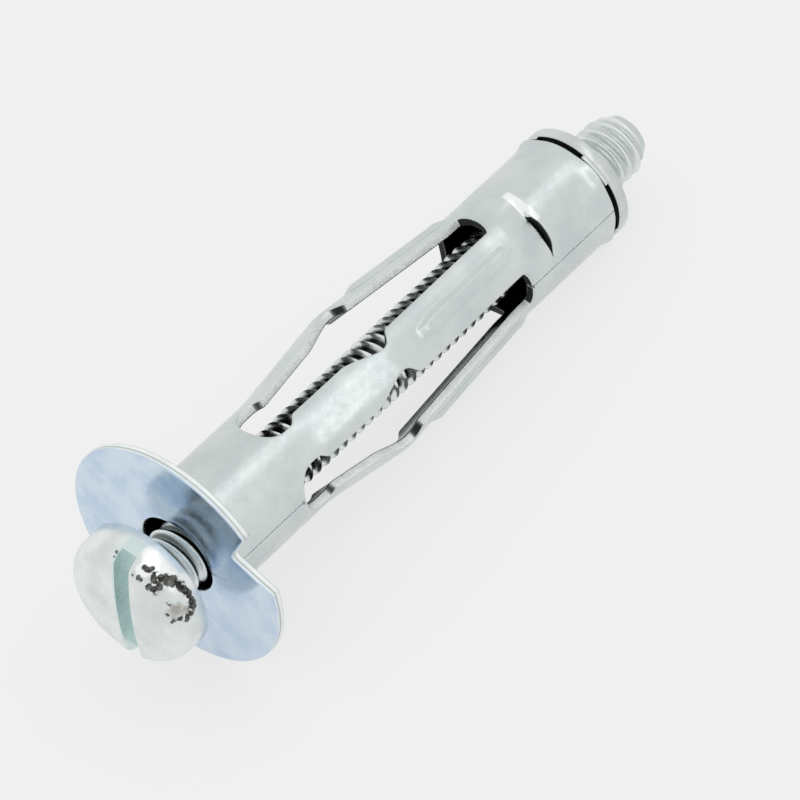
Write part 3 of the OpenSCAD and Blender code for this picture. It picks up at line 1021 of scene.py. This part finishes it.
def screw_zinc():
    """The screw: pale crests with painted shade in the roots, and on the head's shoulder a painted dark
    reflection with painted highlights beside it.
    """
    s = Shading("zinc_screw")
    colour = s.mottled(0.5, SCREW_GREY, SCREW_PALE)
    # Painted shade in the thread's roots, darkest inside the sleeve
    root = s.span(s.radius, SCREW_R - 0.2, SCREW_R - 0.4)
    shank = s.both(s.span(s.x, HEAD_X - 0.1, HEAD_X + 0.1), s.span(s.x, TIP_X - 0.01, TIP_X - 0.1))
    root_shade = s.blend(s.span(s.x, NUT_RIM_X, NUT_END), ROOT_SHADE_IN_SLEEVE, ROOT_SHADE_AT_TIP)
    root_shade = s.blend(s.span(s.x, 0.3, -0.3), root_shade, ROOT_SHADE_AT_HEAD)
    colour = s.blend(s.both(root, shank), colour, root_shade)
    # The walls of the driver slot are greener
    beside = s.vector("DOT_PRODUCT", s.place, (0, *polar(1, DRIVE_TURN + 90)), "Value")
    beside = s.math("ABSOLUTE", s.math("SUBTRACT", beside, DRIVE_OFF))
    half = DRIVE_W / 2
    slot = s.both(s.span(beside, half + 0.03, half + 0.01), s.span(s.x, HEAD_X - 0.6, HEAD_X - 0.7))
    colour = s.blend(slot, colour, DRIVE_WALL)
    ragged = s.uneven(-0.13, 0.13, 3.0, 5)
    # Painted highlight on the head's shoulder, beside the painted reflection
    colour = s.blend(s.span(s.cover(HIGHLIGHT_SPOTS), -0.1, 0.1), colour, HEAD_HIGHLIGHT)
    # Painted reflection on the head's shoulder: fainter inside the chain, dark along it
    colour = s.blend(s.span(s.cover(FAINT_REFLECTION_SPOTS, ragged), -0.1, 0.4), colour, HEAD_FAINT_REFLECTION)
    reflected = s.span(s.cover(DARK_REFLECTION_SPOTS, ragged), -0.07, 0.07)
    dark = s.blend(s.span(s.noise(3.0, 3), 0.45, 0.7), REFLECTION_DARK, REFLECTION_PALE)
    colour = s.blend(reflected, colour, dark)
    return s.plating(colour, s.uneven(0.18, 0.3))


def dress(obj, materials, body, node):
    """Gives a piece its materials, sets it on its body and lets it stand for the CAD's node."""
    for material in materials:
        obj.data.materials.append(material)
    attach(obj, body)
    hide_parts(node)


# ---------------------------------------------------------------- the object
sleeve = build_sleeve()
nut = build_nut()
screw = build_screw()
dress(sleeve, [sheet_zinc(), cut_zinc()], "sleeve", "sleeve")
dress(nut, [nut_zinc()], "sleeve", "nut")
dress(screw, [screw_zinc()], "screw", "screw")


# ---------------------------------------------------------------- the stage
def seen_rays(tree):
    """1 for the camera's rays and for those that metal or glass passes on."""
    rays = tree.nodes.new("ShaderNodeLightPath")
    total = rays.outputs["Is Camera Ray"]
    for kind in ("Is Glossy Ray", "Is Transmission Ray"):
        either = tree.nodes.new("ShaderNodeMath")
        either.operation = "MAXIMUM"
        tree.links.new(total, either.inputs[0])
        tree.links.new(rays.outputs[kind], either.inputs[1])
        total = either.outputs[0]
    return total


def build_floor():
    """A pale floor that touches the flange's rim and the nut's rim."""
    tilt = math.atan((FLANGE_R - NUT_R) / NUT_END)
    mesh = bpy.data.meshes.new("floor")
    half = FLOOR_HALF_M
    corners = [(-half, -half, 0), (half, -half, 0), (half, half, 0), (-half, half, 0)]
    mesh.from_pydata(corners, [], [(0, 1, 2, 3)])
    floor = bpy.data.objects.new("floor", mesh)
    bpy.context.scene.collection.objects.link(floor)
    floor.rotation_euler = (0, -tilt, 0)
    floor.location = (0, 0, -FLANGE_R * MM)
    material = bpy.data.materials.new("floor_paper")
    material.use_nodes = True
    tree = material.node_tree
    shader = tree.nodes["Principled BSDF"]
    shader.inputs["Base Color"].default_value = (*PAPER, 1)
    shader.inputs["Roughness"].default_value = 0.9
    shader.inputs["Specular IOR Level"].default_value = 0.1
    # The picture sees a lit white sheet, on which the shadow stays as a faint one
    glow = add_node(tree, "ShaderNodeEmission", Color=(*PAPER_GLOW, 1), Strength=1.0)
    mix = tree.nodes.new("ShaderNodeMixShader")
    share = tree.nodes.new("ShaderNodeMath")
    share.operation = "MULTIPLY"
    share.inputs[1].default_value = GLOW_SHARE
    tree.links.new(seen_rays(tree), share.inputs[0])
    tree.links.new(share.outputs[0], mix.inputs["Fac"])
    tree.links.new(shader.outputs[0], mix.inputs[1])
    tree.links.new(glow.outputs[0], mix.inputs[2])
    tree.links.new(mix.outputs[0], tree.nodes["Material Output"].inputs["Surface"])
    mesh.materials.append(material)


def build_world():
    """A white surround, seen a little darker than the light that it casts."""
    world = bpy.data.worlds.new("surround")
    bpy.context.scene.world = world
    world.use_nodes = True
    tree = world.node_tree
    tree.nodes.clear()
    out = tree.nodes.new("ShaderNodeOutputWorld")
    seen = add_node(tree, "ShaderNodeBackground", Color=(*SURROUND_SEEN, 1), Strength=1.0)
    cast = add_node(tree, "ShaderNodeBackground", Color=(*SURROUND_CAST, 1), Strength=SURROUND_STRENGTH)
    mix = tree.nodes.new("ShaderNodeMixShader")
    tree.links.new(seen_rays(tree), mix.inputs["Fac"])
    tree.links.new(cast.outputs[0], mix.inputs[1])
    tree.links.new(seen.outputs[0], mix.inputs[2])
    tree.links.new(mix.outputs[0], out.inputs["Surface"])


def area_light(name, place, target, size, power):
    """A soft lamp that looks from place to target, in metres and watts."""
    data = bpy.data.lights.new(name, "AREA")
    data.shape = "RECTANGLE"
    data.size, data.size_y = size
    data.energy = power
    lamp = bpy.data.objects.new(name, data)
    lamp.location = place
    lamp.rotation_euler = (Vector(target) - Vector(place)).to_track_quat("-Z", "Y").to_euler()
    bpy.context.scene.collection.objects.link(lamp)


def build_camera():
    """The camera, from how the axis runs in the picture and how the anchor is turned about its axis."""
    data = bpy.data.cameras.new("camera")
    data.lens = LENS_MM
    data.sensor_width = SENSOR_MM
    data.clip_start = 0.01
    camera = bpy.data.objects.new("camera", data)
    bpy.context.scene.collection.objects.link(camera)
    along = Vector(AXIS_IN_VIEW).normalized()
    towards = Vector((0, 0, 1))
    near = (towards - towards.dot(along) * along).normalized()
    # The picture's frame has Z towards the viewer, so side is along x near
    side = along.cross(near)
    c, s = math.cos(math.radians(NEAR_TURN)), math.sin(math.radians(NEAR_TURN))
    y_axis = c * near - s * side
    z_axis = s * near + c * side
    # Rows of this matrix are the camera's own axes in the object's frame
    turn = Matrix((along, y_axis, z_axis))
    origin = Vector((-SHEET_T * MM, 0, 0)) - turn @ (Vector(CAMERA_TO_FLANGE) * MM)
    camera.matrix_world = Matrix.Translation(origin) @ turn.to_4x4()
    bpy.context.scene.camera = camera


build_floor()
build_world()
area_light("overhead", place=(0.25, -0.17, 0.47), target=(0.015, 0, 0), size=(0.32, 0.13), power=0.055)
area_light("front", place=(0.1, -0.32, 0.37), target=(0.012, 0, 0), size=(0.11, 0.6), power=0.11)
build_camera()
bpy.context.scene.view_settings.view_transform = "Standard"
